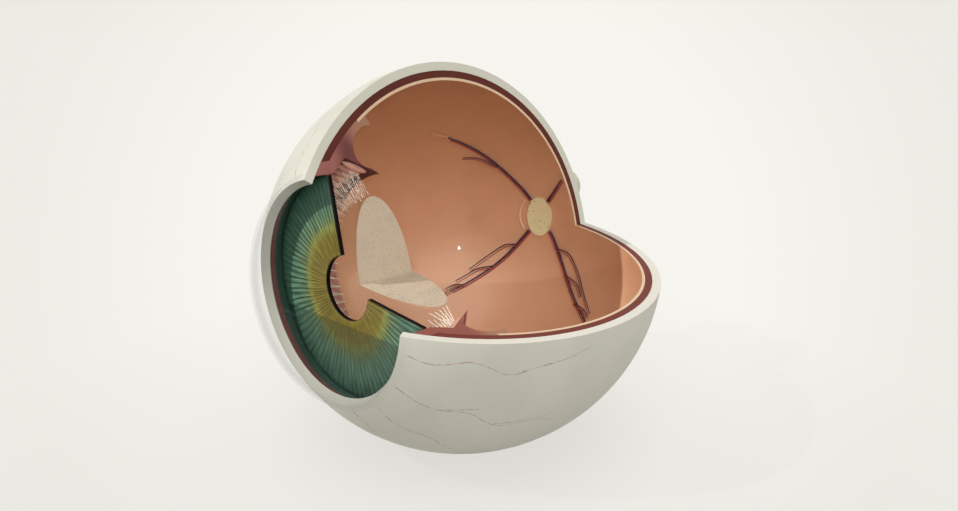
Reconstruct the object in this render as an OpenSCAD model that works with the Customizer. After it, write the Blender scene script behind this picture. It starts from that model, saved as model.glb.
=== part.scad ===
// Classroom model of the human eye, six times life size, with a wedge taken out so that the
// layers of the wall, the ciliary body, the lens and the back of the retina can be seen.
// The optical axis lies along X: the cornea looks along -X and the optic nerve leaves at +X.
// The wedge opens towards -Y and upwards. The model rests on a small flat under the eyeball.

/* [Eyeball] */
// Outer radius of the eyeball across the optical axis
eye_r = 72; // [60:1:90]
// Length of the eyeball along its axis as a ratio of its width
axial_ratio = 1.04; // [1:0.01:1.08]
// Thickness of the white outer coat
sclera_t = 3.1; // [2.6:0.1:5]
// Thickness of the dark middle coat
choroid_t = 2.5; // [1.5:0.1:4]
// Thickness of the innermost coat
retina_t = 1; // [0.6:0.1:2]
// Play between one coat and the next
coat_gap = 0.05; // [0.02:0.01:0.2]
// Radius of the flat under the eyeball
foot_r = 18; // [12:0.5:20]

/* [Opening] */
// Angle of the wedge taken out, about the optical axis
wedge_angle = 108; // [80:1:130]
// Middle of the wedge, in degrees up from the near side
wedge_middle = 47.5; // [40:0.5:55]
// Radius of the round window at the front, on the outer face of the wall
window_r = 37.1; // [35:0.1:38]
// How far outside the window's edge the dark coat ends
choroid_step = 4.9; // [3.4:0.1:6]

/* [Cornea] */
// How far outside the window's edge the dome is at its widest
cornea_lap = 3.2; // [2.4:0.1:5]
// Depth of the clear dome from its widest place to its front
cornea_depth = 23.1; // [18:0.1:28]
// Thickness of the clear dome
cornea_t = 1; // [0.8:0.1:2]
// How far in front of the iris the dome's widest place lies
cornea_ahead = 2; // [0:0.1:4]
// Gap between the dome's rim and the white of the eye
cornea_seat = 0.3; // [0.2:0.05:0.5]

/* [Iris] */
// How far the iris reaches behind the window's edge
iris_lap = 0.4; // [0.1:0.1:1.4]
// Gap between the iris and the root of the ciliary body that holds it
iris_gap = 0.3; // [0.2:0.05:0.6]
// Depth of the iris's front behind the window's edge
iris_depth = 8.5739; // [6:0.0001:12]
// Thickness of the coloured front layer
stroma_t = 0.7; // [0.5:0.1:1.5]
// Thickness of the black layer behind it
pigment_t = 1.2; // [0.8:0.1:2]
// Radius of the pupil
pupil_r = 11; // [6:0.5:18]
// Number of radial folds of the coloured layer
fold_count = 46; // [20:1:60]
// Depth of a fold
fold_depth = 0.35; // [0.1:0.05:0.5]

/* [Lens] */
// Radius of the lens at its equator
lens_r = 28.3; // [24:0.1:30]
// Depth of the lens in front of its equator
lens_front = 10.4; // [8:0.1:12]
// Depth of the lens behind its equator
lens_back = 12.5; // [10:0.1:15]
// Depth of the lens's equator behind the iris's front
lens_depth = 16.4; // [14.6:0.1:17.6]

/* [Ciliary body] */
// Depth of the retina's front edge behind the iris's front
retina_depth = 16; // [13.6:0.1:19.6]
// Radius of the hollow behind the ciliary body
hollow_r = 7.2; // [5:0.1:8]
// Number of ciliary processes
process_count = 44; // [20:1:46]
// Length of one process
process_l = 10.2; // [7:0.1:11]
// Width of one process
process_w = 2.8; // [1.5:0.1:3]
// Gap between a process and the ciliary body
process_seat = 0.05; // [0.02:0.01:0.2]
// Number of fibres in the fan of one process
fan_count = 5; // [3:1:6]
// Diameter of one suspensory fibre
fibre_d = 0.26; // [0.2:0.02:0.5]
// Gap at both ends of a fibre
fibre_gap = 0.3; // [0.2:0.05:0.5]

/* [Optic nerve] */
// Turn of the optic disc from the optical axis, towards the far side
disc_turn = 15.8; // [12:0.1:20]
// Rise of the optic disc above the optical axis
disc_rise = 1.4; // [-5:0.1:8]
// Width of the optic disc
disc_w = 11.6; // [8:0.1:14]
// Height of the optic disc
disc_h = 17.4; // [12:0.1:20]
// Thickness of the optic disc
disc_t = 0.6; // [0.4:0.1:1.2]
// Radius of the nerve with its sheath
sheath_r = 9.7; // [8:0.1:12]
// Radius of the nerve inside the sheath
nerve_r = 7.2; // [5:0.1:7.5]
// Length of the nerve from the retina to its cut end
nerve_l = 31; // [20:1:40]
// Length of nerve that stands out of the sheath's end
nerve_end = 1; // [0:0.5:4]
// Turn of the nerve away from the optical axis, towards the far side
nerve_turn = 20; // [10:1:25]
// Rise of the nerve as it leaves
nerve_rise = 19; // [5:1:25]
// Gap between the nerve and what it passes through
nerve_gap = 0.1; // [0.05:0.05:0.3]

/* [Retinal vessels] */
// Radius of a main vein where it leaves the optic disc
vein_r = 0.52; // [0.4:0.02:0.8]
// Radius of a main artery where it leaves the optic disc
artery_r = 0.42; // [0.3:0.02:0.7]
// Radius of a vessel's far end as a share of its start
vessel_taper = 0.6; // [0.4:0.05:1]
// Radius of a branch as a share of its main vessel
branch_share = 0.58; // [0.4:0.02:0.8]
// Play under and between the vessels
vessel_gap = 0.1; // [0.05:0.01:0.3]

/* [Hidden] */
$fn = 128;

// Radii across the axis of each coat's two faces
choroid_r = eye_r - sclera_t - coat_gap;
choroid_in_r = choroid_r - choroid_t;
retina_r = choroid_in_r - coat_gap;
retina_in_r = retina_r - retina_t;
// Height of the optical axis over the flat that the model rests on
axis_h = sqrt(eye_r * eye_r - foot_r * foot_r);
// Angles about the axis, from the near side (-Y) over the top: the wedge's far and near cuts
far_cut = wedge_middle + wedge_angle / 2;
near_cut = wedge_middle - wedge_angle / 2;
kept_angle = 360 - wedge_angle;
far = 3 * eye_r;
// Distances in front of the middle of the eye: the window's edge and what lies behind it
window_x = axial_ratio * sqrt(eye_r * eye_r - window_r * window_r);
iris_front_x = window_x - iris_depth;
iris_back_x = iris_front_x - stroma_t - pigment_t - coat_gap;
lens_x = iris_front_x - lens_depth;
ora_x = iris_front_x - retina_depth;
cornea_x = iris_front_x + cornea_ahead;
// Radii of what lines up with the window
choroid_window_r = window_r + choroid_step;
iris_r = window_r + iris_lap;
cornea_r = window_r + cornea_lap;

// ---- Places in the eye ----

// Point at a distance x along the axis, r from it and phi about it
function about(x, r, phi) = [x, -r * cos(phi), r * sin(phi)];

// Stands the eye on its flat
module in_eye() translate([0, 0, axis_h]) children();

// Turns a profile (radius, distance along the axis) round the axis, all but the wedge
module turned() rotate([0, 90, 0]) rotate(-90 - near_cut) rotate_extrude(angle = kept_angle) children();

// Half an ellipse about the axis: the outline of an ellipsoidal face
module half_face(r) intersection() {
  scale([1, axial_ratio]) circle(r);
  translate([0, -far]) square([far, 2 * far]);
}

// Profile of one coat
module coat(outer_r, inner_r) difference() {
  half_face(outer_r);
  scale([1, axial_ratio]) circle(inner_r);
}

// Profile of the window in the white coat, whose edge is square to the wall
window_edge = [window_r, -window_x];
window_out = [window_edge[0], window_edge[1] / pow(axial_ratio, 2)];
window_step = 2 * sclera_t * window_out / norm(window_out);
module window() polygon([
    [-1, -far], [window_edge[0] + window_step[0], -far], window_edge + window_step,
    window_edge - window_step, [-1, window_edge[1] - window_step[1]]
  ]);

// Closed skin over a row of rings, each ring with as many corners as the next
module skin(rings) {
  n = len(rings);
  m = len(rings[0]);
  function corner(i, k) = i * m + k % m;
  polyhedron(
    points = [for (ring = rings) each ring],
    faces = concat(
      [[for (k = [0:m - 1]) corner(0, k)]],
      [[for (k = [m - 1:-1:0]) corner(n - 1, k)]],
      [for (i = [0:n - 2]) for (k = [0:m - 1]) [corner(i, k), corner(i + 1, k), corner(i, k + 1)]],
      [for (i = [0:n - 2]) for (k = [0:m - 1]) [corner(i, k + 1), corner(i + 1, k), corner(i + 1, k + 1)]]
    )
  );
}

// ---- Wall of the eye ----

module sclera_shell() color([0.9, 0.87, 0.8]) in_eye() difference() {
  turned() difference() {
    coat(eye_r, eye_r - sclera_t);
    window();
  }
  translate([-far, -far, -axis_h - far]) cube([2 * far, 2 * far, far]);
  nerve_canal();
}

module choroid_shell() color([0.4, 0.18, 0.15]) in_eye() difference() {
  turned() difference() {
    coat(choroid_r, choroid_in_r);
    translate([-1, -far]) square([choroid_window_r + 1, far]);
  }
  nerve_canal();
}

module retina_shell() color([0.71, 0.45, 0.3]) in_eye() turned() difference() {
  coat(retina_r, retina_in_r);
  translate([-1, -far - ora_x]) square([far, far]);
}

// ---- Ciliary body ----

// The face that carries the processes, as a line in the profile: its rear tip and its front end,
// each so far outside the lens's edge and so far behind or ahead of its equator
tip_out = 7;
tip_behind = 5.2;
brow_out = 14;
brow_ahead = 8;
tip = [lens_r + tip_out, -(lens_x - tip_behind)];
brow = [lens_r + brow_out, -(lens_x + brow_ahead)];
face_slope = atan2(brow[0] - tip[0], tip[1] - brow[1]);
// Inner radius of the root, which reaches forward round the iris to the white coat
root_r = iris_r + iris_gap;
// Middle of the hollow behind the ciliary body, and the body's rear outline from the tip to the wall
hollow = tip + [9.4, -2];
tip_back = tip + [3.6, -4.9];
rear_inner = tip + [17.5, -0.6];
rear_outer = [tip[0] + 20, -(ora_x - 3)];
// How far the root's inner face reaches behind the iris
root_behind = 1;

// Everything that the ciliary body can fill: inside the dark coat, and in front of its end
module wall_space() {
  half_face(choroid_in_r - coat_gap);
  intersection() {
    half_face(choroid_r);
    translate([0, -far]) square([choroid_window_r - coat_gap, far]);
  }
}

module ciliary_body() color([0.56, 0.34, 0.31]) in_eye() turned() difference() {
  intersection() {
    wall_space();
    polygon([
      [root_r, -far], [root_r, -(iris_back_x - root_behind)], brow, tip, tip_back, hollow,
      rear_inner, rear_outer, [far, rear_outer[1]], [far, -far]
    ]);
  }
  translate(hollow) circle(hollow_r);
  difference() {
    translate([0, -ora_x - coat_gap]) square([far, far]);
    scale([1, axial_ratio]) circle(retina_in_r - coat_gap);
  }
}

// Angle about the axis of process number k, the first and last a little inside the cuts
process_first = 4.4;
process_last = 2.5;
process_step = (kept_angle - process_first - process_last) / (process_count - 1);
function process_phi(k) = far_cut + process_first + k * process_step;
// Middle of a process on the face, a little ahead of half way along it
process_shift = 1.3;
process_mid = (brow + tip) / 2 + process_shift * [sin(face_slope), -cos(face_slope)];

// One process: a long rounded finger with a flat back, made of rings from end to end
process_sunk = 0.4;
process_h = process_w / 2 + process_sunk;
process_rings = 7;
process_sides = 8;
function process_ring(i) = let (
    t = -cos(180 * (i + 0.5) / process_rings),
    w = process_w / 2 * sqrt(1 - t * t),
    low = -asin(2 * process_sunk / process_w)
  ) [for (k = [0:process_sides - 1]) let (a = low + (180 - 2 * low) * k / (process_sides - 1))
    [t * process_l / 2, w * cos(a), w * sin(a)]];
module process() skin([for (i = [0:process_rings - 1]) process_ring(i)]);

// Sets a child on the face of the ciliary body at the angle phi, its X along the face to the rear
module on_face(phi) rotate([180 - phi, 0, 0]) translate([process_mid[1], process_mid[0], 0])
  rotate([0, 0, -face_slope]) rotate([90, 0, 0])
  translate([0, 0, process_seat + process_sunk]) children();

module ciliary_processes() color([0.68, 0.44, 0.39]) in_eye()
  for (k = [0:process_count - 1]) on_face(process_phi(k)) process();

// ---- Suspensory fibres and lens ----

// Fibre j of the fan of process k runs from the crest of the process to just outside the lens: the
// fan's spread about the axis and its depth at the lens, and the step from fibre to fibre on the crest
fan_spread = 4.4;
fan_depth = 5.4;
fan_ahead = 0.15;
crest_step = 0.8;
function share(j) = j / (fan_count - 1) - 0.5;
crest = process_mid + (process_seat + process_h + fibre_gap) * [-cos(face_slope), -sin(face_slope)];
function fibre_start(k, j) = let (s = crest_step * (fan_count - 1) * share(j))
  about(crest[1] + s * cos(face_slope), crest[0] - s * sin(face_slope), process_phi(k));
function lens_edge(d) = d < 0 ? lens_r * sqrt(1 - pow(d / lens_front, 2)) : lens_r;
function fibre_end(k, j) = let (d = fan_depth * (share(j) - fan_ahead))
  about(d - lens_x, lens_edge(d) + fibre_gap + fibre_d / 2, process_phi(k) + fan_spread * share(j));

module rod(a, b, d) {
  v = b - a;
  translate(a) rotate([0, acos(v[2] / norm(v)), atan2(v[1], v[0])]) cylinder(d = d, h = norm(v));
}

module zonule_fibres() color([0.93, 0.87, 0.78]) in_eye()
  for (k = [0:process_count - 1])
    for (j = [0:fan_count - 1])
      rod(fibre_start(k, j), fibre_end(k, j), fibre_d);

module lens() color([0.82, 0.75, 0.65]) in_eye() turned() translate([0, -lens_x]) {
  intersection() {
    scale([1, lens_front / lens_r]) circle(lens_r);
    translate([0, -lens_r]) square([lens_r, lens_r]);
  }
  intersection() {
    scale([1, lens_back / lens_r]) circle(lens_r);
    square([lens_r, lens_r]);
  }
}

// ---- Iris and cornea ----

// One station of the folded layer: its section, from the pupil outwards in front and back behind
fold_shares = [0, 0.06, 0.36, 0.5, 0.94, 1];
fold_sunk = [0.9, 0.5, 0.3, 0.6, 1, 0.6];
function iris_station(phi, sunk) = concat(
    [for (i = [0:len(fold_shares) - 1])
      about(-(iris_front_x - sunk * fold_sunk[i]), pupil_r + fold_shares[i] * (iris_r - pupil_r), phi)],
    [about(-(iris_front_x - stroma_t), iris_r, phi), about(-(iris_front_x - stroma_t), pupil_r, phi)]
  );
// Folds run round from the far cut to the near cut, two stations to each
module iris_stroma() color([0.2, 0.34, 0.25]) in_eye() skin([
    for (k = [0:2 * fold_count]) iris_station(far_cut + kept_angle * k / (2 * fold_count), k % 2 * fold_depth)
  ]);

module iris_pigment_layer() color([0.1, 0.08, 0.06]) in_eye() turned()
  translate([pupil_r, -(iris_front_x - stroma_t - coat_gap)]) square([iris_r - pupil_r, pigment_t]);

// The dome: an ellipse about the axis, cut by the white coat that it stands on
module cornea() color([0.85, 0.9, 0.92, 0.35]) in_eye() turned() difference() {
  intersection() {
    translate([0, -cornea_x]) scale([1, cornea_depth / cornea_r]) circle(cornea_r);
    translate([0, -far]) square([far, far]);
  }
  translate([0, -cornea_x]) scale([1, (cornea_depth - cornea_t) / (cornea_r - cornea_t)])
    circle(cornea_r - cornea_t);
  scale([1, axial_ratio]) circle(eye_r + cornea_seat);
}

// ---- Optic nerve ----

// Directions at the optic disc: outwards, towards the far side and up
disc_out = [cos(disc_rise) * cos(disc_turn), cos(disc_rise) * sin(disc_turn), sin(disc_rise)];
disc_side = [-sin(disc_turn), cos(disc_turn), 0];
disc_up = cross(disc_out, disc_side);

// Point on the retina, given as an angle away from the disc and a bearing round it, and raised off it
function on_retina(away, bearing, lift) = let (
    d = cos(away) * disc_out + sin(away) * (cos(bearing) * disc_side + sin(bearing) * disc_up)
  ) (retina_in_r - lift) * [axial_ratio * d[0], d[1], d[2]];

disc_at = on_retina(0, 0, 0);

// Turns Z to point out of the eye through the optic disc, and X to its far side
module facing_disc() multmatrix([
    [disc_side[0], disc_up[0], disc_out[0], disc_at[0]],
    [disc_side[1], disc_up[1], disc_out[1], disc_at[1]],
    [disc_side[2], disc_up[2], disc_out[2], disc_at[2]],
    [0, 0, 0, 1]
  ]) children();

module optic_disc() color([0.74, 0.64, 0.45]) in_eye() intersection() {
  facing_disc() scale([disc_w / disc_h, 1, 1]) cylinder(r = disc_h / 2, h = 2 * disc_h, center = true);
  rotate([0, 90, 0]) rotate_extrude() difference() {
    half_face(retina_in_r - coat_gap);
    scale([1, axial_ratio]) circle(retina_in_r - coat_gap - disc_t);
  }
}

// Turns Z along the nerve, from the middle of the optic disc outwards
module along_nerve() translate(disc_at) rotate([0, 90 - nerve_rise, nerve_turn]) children();

// What the nerve takes out of the coats
module nerve_canal() along_nerve() cylinder(r = nerve_r + nerve_gap, h = nerve_l + far);

// Everything inside an ellipsoidal face, as a solid
module inside_face(r) rotate([0, 90, 0]) rotate_extrude() half_face(r);

module optic_nerve() color([0.86, 0.8, 0.62]) in_eye() difference() {
  along_nerve() cylinder(r = nerve_r, h = nerve_l);
  inside_face(retina_r + coat_gap);
}

module nerve_sheath() color([0.85, 0.84, 0.76]) in_eye() difference() {
  along_nerve() difference() {
    cylinder(r = sheath_r, h = nerve_l - nerve_end);
    translate([0, 0, -1]) cylinder(r = nerve_r + nerve_gap, h = nerve_l + 2);
  }
  inside_face(eye_r + coat_gap);
}

// ---- Retinal vessels ----

// Each route is a short list of [angle away from the disc, bearing]: the main stem, then branches
superior_nasal = [
  [[7.4, 64], [18, 56], [36, 51.5], [55, 46.5]],
  [[26, 54], [32.5, 48], [38, 41]]
];
superior_temporal = [[[7.4, 118], [13, 121], [19.5, 122.5]]];
inferior_nasal = [
  [[7.3, -54], [20, -53], [36, -48.5], [50, -44]],
  [[15, -53.3], [18.5, -43], [26, -41], [36, -41]],
  [[28, -50.8], [33, -44.5], [38, -43], [43, -42]],
  [[42, -46.6], [44.6, -43.4], [51, -41.8]]
];
inferior_temporal = [
  [[7.1, -133], [18, -126], [32, -125], [48, -130]],
  [[14.5, -127.8], [18.5, -137.5], [26, -136.5], [36, -133.5], [46, -133.6]],
  [[26, -125.2], [31, -131], [37, -130.6]],
  [[39, -126.5], [42.5, -130.3], [47, -131.8]]
];

// Smooth curve through the points of a route, n steps to each span
function bend(p, q, r, s, t) = 0.5 * ((2 * q) + (r - p) * t + (2 * p - 5 * q + 4 * r - s) * t * t
  + (3 * q - p - 3 * r + s) * t * t * t);
function pick(route, i) = i < 0 ? 2 * route[0] - route[1]
  : i >= len(route) ? 2 * route[len(route) - 1] - route[len(route) - 2] : route[i];
function smooth(route, n) = [
  for (i = [0:len(route) - 2]) for (k = [0:n - 1])
    bend(pick(route, i - 1), route[i], route[i + 1], pick(route, i + 2), k / n),
  route[len(route) - 1]
];

// The artery runs beside its vein: how far round the disc it is shifted at an angle away
pair_step = vein_r + artery_r + vessel_gap;
function beside(p, side) = [p[0], p[1] + side * pair_step / (retina_in_r * sin(p[0])) * 180 / PI];

// A branch leaves from the top of its stem, stays there for a few steps and then comes down to the retina
leap = 2 * (vein_r + vessel_gap) + vessel_gap;
leap_steps = 2;
fall_steps = 3;
function lift_at(i, r, is_branch) = r + vessel_gap
  + (is_branch ? leap * max(0, 1 - max(0, i - leap_steps) / fall_steps) : 0);

// A stem starts clear of the optic disc's edge, however large the disc is
function disc_edge(bearing) = asin(0.5 / norm([cos(bearing) / disc_w, sin(bearing) / disc_h]) / retina_in_r);
function clear_of_disc(bearing) = disc_edge(bearing) + asin((vein_r + coat_gap) / retina_in_r);
function off_disc(knot) = [max(knot[0], clear_of_disc(knot[1])), knot[1]];
function stem(route) = [off_disc(route[0]), for (i = [1:len(route) - 1]) route[i]];

// One tube through points, with its own radius at each
tube_sides = 6;
module tube(points, radii) {
  n = len(points);
  skin([for (i = [0:n - 1]) let (
      ahead = points[min(n - 1, i + 1)] - points[max(0, i - 1)],
      t = ahead / norm(ahead),
      s = cross(points[i], t) / norm(cross(points[i], t)),
      u = cross(t, s)
    ) [for (k = [0:tube_sides - 1]) let (a = k * 360 / tube_sides)
      points[i] + radii[i] * (cos(a) * s + sin(a) * u)]]);
}

// A stem and its branches, each its own tube; side is 0 for a vein and 1 or -1 for an artery
stem_steps = 6;
branch_steps = 4;
module vessel(routes, r, side) in_eye() for (b = [0:len(routes) - 1]) {
  path = b == 0 ? smooth(stem(routes[0]), stem_steps) : smooth(routes[b], branch_steps);
  n = len(path);
  start_r = b == 0 ? r : r * branch_share;
  radii = [for (i = [0:n - 1]) start_r * (1 + (vessel_taper - 1) * i / (n - 1))];
  tube(
    [for (i = [0:n - 1]) let (p = beside(path[i], side))
      on_retina(p[0], p[1], lift_at(i, radii[i], b > 0))],
    radii
  );
}

vein_color = [0.2, 0.13, 0.2];
artery_color = [0.55, 0.2, 0.17];
module superior_nasal_vein() color(vein_color) vessel(superior_nasal, vein_r, 0);
module superior_nasal_artery() color(artery_color) vessel(superior_nasal, artery_r, -1);
module superior_temporal_vein() color(vein_color) vessel(superior_temporal, vein_r, 0);
module superior_temporal_artery() color(artery_color) vessel(superior_temporal, artery_r, 1);
module inferior_nasal_vein() color(vein_color) vessel(inferior_nasal, vein_r, 0);
module inferior_nasal_artery() color(artery_color) vessel(inferior_nasal, artery_r, -1);
module inferior_temporal_vein() color(vein_color) vessel(inferior_temporal, vein_r, 0);
module inferior_temporal_artery() color(artery_color) vessel(inferior_temporal, artery_r, 1);

// Thin raised margin beside the optic disc, between the two nasal pairs
margin_away = 8.3;
margin_from = 46;
margin_to = -42;
margin_r = 0.25;
margin_steps = 12;
module disc_margin() color([0.86, 0.7, 0.53]) in_eye() tube(
  [for (i = [0:margin_steps]) let (bearing = margin_from + (margin_to - margin_from) * i / margin_steps)
    on_retina(margin_away, bearing, margin_r + coat_gap)],
  [for (i = [0:margin_steps]) margin_r]
);

sclera_shell();
choroid_shell();
retina_shell();
ciliary_body();
ciliary_processes();
zonule_fibres();
lens();
iris_stroma();
iris_pigment_layer();
cornea();
optic_disc();
disc_margin();
optic_nerve();
nerve_sheath();
superior_nasal_vein();
superior_nasal_artery();
superior_temporal_vein();
superior_temporal_artery();
inferior_nasal_vein();
inferior_nasal_artery();
inferior_temporal_vein();
inferior_temporal_artery();
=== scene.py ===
# %% [markdown]
# # A take-apart model of the eye
#
# The model stands about six times life size. A wedge has been taken out of it, so that the wall, the
# ciliary body, the lens and the back of the retina can all be seen at once. The solid parts come from
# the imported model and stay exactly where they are; this file gives each of them its finish, and makes
# the two parts whose surface needs more than the solid gives: the folded iris and the clear lens.

# %% Load the solid parts
import math

import bpy
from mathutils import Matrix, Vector, noise


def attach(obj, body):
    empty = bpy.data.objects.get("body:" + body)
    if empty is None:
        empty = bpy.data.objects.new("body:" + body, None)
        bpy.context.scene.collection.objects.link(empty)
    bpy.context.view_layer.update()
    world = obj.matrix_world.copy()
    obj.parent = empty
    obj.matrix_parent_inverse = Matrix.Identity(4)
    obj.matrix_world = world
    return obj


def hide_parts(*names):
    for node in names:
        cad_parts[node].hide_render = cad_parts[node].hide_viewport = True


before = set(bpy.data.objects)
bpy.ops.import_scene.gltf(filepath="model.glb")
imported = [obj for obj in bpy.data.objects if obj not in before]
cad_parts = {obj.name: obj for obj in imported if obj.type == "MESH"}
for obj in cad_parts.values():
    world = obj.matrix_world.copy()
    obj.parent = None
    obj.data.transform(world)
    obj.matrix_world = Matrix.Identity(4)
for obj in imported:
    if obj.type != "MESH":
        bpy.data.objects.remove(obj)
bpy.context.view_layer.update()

MM = 0.001
AXIS_HEIGHT = 69.714 * MM   # the optical axis over the table
EYE_RADIUS = 72 * MM        # across the axis
EYE_STRETCH = 1.04          # length along the axis over the width
FAR_CUT = math.radians(101.5)   # the wedge's two cuts, about the axis from the near side over the top
NEAR_CUT = math.radians(-6.5)

# Places on the solid parts that the finishes follow, in millimetres: out from the axis and along it
WINDOW_START = -64.3        # just ahead of the window's edge
WINDOW_EDGE = (37.2, -64.174)
WINDOW_CLOSING = 0.625      # how far the edge's face closes in for each millimetre that it runs back
IRIS_AT = -55.6
IRIS_REACH = (11.0, 37.5)   # from the pupil to the window
ROOT_REACH = 38.2           # the ciliary body's inner face beside the iris, and where it ends
ROOT_END = -50.5
FINGER_FACE_OUT = (0.8835, 0.4685)      # across the face that carries the fingers: outwards and back
FINGER_FACE_TIP = (35.3, -34.0)
RETINA_FRONT = -39.57

# %% [markdown]
# ## Node helpers
#
# A procedural material is a small program drawn as boxes and wires. Written by hand in Python each box
# takes four or five lines, which hides what the material does. The helper below places one node, sets
# its options and fills its sockets in one call. A socket can be filled with a value or with the output
# of another node, so a chain of nodes reads like a formula.

# %% One node in one call
def put(tree, kind, *values, **options):
    """Adds a node. values fill its sockets in order (None leaves one alone); options are its settings."""
    node = tree.nodes.new("ShaderNode" + kind)
    named = options.pop("sockets", {})
    for name, value in options.items():
        setattr(node, name, value)
    for socket, value in [*zip(node.inputs, values), *((node.inputs[k], v) for k, v in named.items())]:
        if isinstance(value, bpy.types.NodeSocket):
            tree.links.new(value, socket)
        elif value is not None:
            socket.default_value = value
    return node


def maths(tree, operation, *values, clamp=False):
    return put(tree, "Math", *values, operation=operation, use_clamp=clamp).outputs[0]


def vector_maths(tree, operation, *values):
    node = put(tree, "VectorMath", *values, operation=operation)
    return node.outputs["Value" if operation in ("DOT_PRODUCT", "LENGTH") else "Vector"]


def blend_colour(tree, share, first, second):
    """first where share is 0 and second where it is 1; both are colours or colour sockets."""
    node = put(tree, "Mix", data_type="RGBA")
    colours = [s for s in node.inputs if s.type == "RGBA"]
    for socket, value in ((node.inputs[0], share), (colours[0], first), (colours[1], second)):
        if isinstance(value, bpy.types.NodeSocket):
            tree.links.new(value, socket)
        else:
            socket.default_value = value if isinstance(value, (int, float)) else (*value, 1)
    return next(s for s in node.outputs if s.type == "RGBA")


def ramp(tree, value, stops, interpolation="LINEAR"):
    """A colour or grey that follows value through (place, colour) stops."""
    node = put(tree, "ValToRGB", value)
    node.color_ramp.interpolation = interpolation
    points = node.color_ramp.elements
    while len(points) < len(stops):
        points.new(0.5)
    for point, (place, colour) in zip(points, stops):
        point.position = place
    for point, (place, colour) in zip(points, stops):
        point.color = (*colour, 1) if isinstance(colour, tuple) else (colour, colour, colour, 1)
    return node.outputs["Color"]


def soft_step(tree, value, start, end):
    """0 below start and 1 above end, with a smooth rise between."""
    node = put(tree, "MapRange", value, start, end, 0.0, 1.0, interpolation_type="SMOOTHSTEP")
    return node.outputs[0]


def spread(tree, value, start, end, low, high):
    """low where value is start and high where it is end."""
    return put(tree, "MapRange", value, start, end, low, high).outputs[0]


def solid_place(tree):
    """The point's place in the model, in metres."""
    return put(tree, "TexCoord").outputs["Object"]


def height_over_axis(tree, place):
    """In millimetres."""
    up = maths(tree, "SUBTRACT", put(tree, "SeparateXYZ", place).outputs["Z"], AXIS_HEIGHT)
    return maths(tree, "MULTIPLY", up, 1 / MM)


def cloudy(tree, place, scale, detail, roughness=0.5):
    return put(tree, "TexNoise", sockets={"Vector": place, "Scale": scale, "Detail": detail,
                                          "Roughness": roughness}).outputs[0]


def start_material(name):
    material = bpy.data.materials.new(name)
    material.use_nodes = True
    return material, material.node_tree, material.node_tree.nodes["Principled BSDF"]


print("helpers ready")

# %% [markdown]
# ## Effects that several materials share
#
# Grain, wear and the finish of a sawn or moulded cut face appear on nearly every part. Each is made
# once as a node group with named inputs, and every material places its own copy with its own values.
# A group gives out only colours, masks, values and heights; the shader itself stays in the material.

# %% A new group with named sockets
def new_group(name, inputs, outputs):
    tree = bpy.data.node_groups.new(name, "ShaderNodeTree")
    for socket, default in inputs.items():
        kind = "NodeSocketColor" if isinstance(default, tuple) else "NodeSocketFloat"
        made = tree.interface.new_socket(name=socket, in_out="INPUT", socket_type=kind)
        made.default_value = (*default, 1) if isinstance(default, tuple) else default
    for socket in outputs:
        kind = "NodeSocketColor" if socket == "Color" else "NodeSocketFloat"
        tree.interface.new_socket(name=socket, in_out="OUTPUT", socket_type=kind)
    start, end = tree.nodes.new("NodeGroupInput"), tree.nodes.new("NodeGroupOutput")
    return tree, start.outputs, end.inputs


def use_group(tree, group, **values):
    """Places a group in a material; a value may be a number, a colour or the output of a node."""
    node = put(tree, "Group")
    node.node_tree = group
    for name, value in values.items():
        socket = node.inputs[name]
        if isinstance(value, bpy.types.NodeSocket):
            tree.links.new(value, socket)
        else:
            socket.default_value = (*value, 1) if isinstance(value, tuple) else value
    return node.outputs


# %% Where a point is about the optical axis: distance from it, angle about it, distance along it
def make_about_axis():
    tree, _, out = new_group("about_axis", {}, ["Radius", "Angle", "Along", "Away"])
    place = put(tree, "SeparateXYZ", solid_place(tree)).outputs
    up = maths(tree, "SUBTRACT", place["Z"], AXIS_HEIGHT)
    near = maths(tree, "MULTIPLY", place["Y"], -1.0)
    radius = maths(tree, "POWER", maths(tree, "ADD", maths(tree, "MULTIPLY", up, up),
                                        maths(tree, "MULTIPLY", near, near)), 0.5)
    tree.links.new(maths(tree, "MULTIPLY", radius, 1 / MM), out["Radius"])
    tree.links.new(maths(tree, "DEGREES", maths(tree, "ARCTAN2", up, near)), out["Angle"])
    tree.links.new(maths(tree, "MULTIPLY", place["X"], 1 / MM), out["Along"])
    front = maths(tree, "MULTIPLY", place["X"], -1 / EYE_STRETCH)
    tree.links.new(maths(tree, "DEGREES", maths(tree, "ARCTAN2", radius, front)), out["Away"])
    return tree


about_axis = make_about_axis()


# %% Which points lie on the wedge's two cut faces
def make_cut_faces():
    tree, given, out = new_group("cut_faces", {"Depth": 0.03}, ["Far", "Near", "Either"])
    place = vector_maths(tree, "SUBTRACT", solid_place(tree), (0, 0, AXIS_HEIGHT))
    found = []
    for angle, name in ((FAR_CUT, "Far"), (NEAR_CUT, "Near")):
        outwards = (0, -math.cos(angle), math.sin(angle))
        across = (0, math.sin(angle), math.cos(angle))
        off = maths(tree, "ABSOLUTE", vector_maths(tree, "DOT_PRODUCT", place, across))
        thin = maths(tree, "LESS_THAN", off, maths(tree, "MULTIPLY", given["Depth"], MM))
        this_side = maths(tree, "GREATER_THAN", vector_maths(tree, "DOT_PRODUCT", place, outwards), 0.0)
        found.append(maths(tree, "MULTIPLY", thin, this_side))
        tree.links.new(found[-1], out[name])
    tree.links.new(maths(tree, "MAXIMUM", *found), out["Either"])
    return tree


cut_faces = make_cut_faces()


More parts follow.
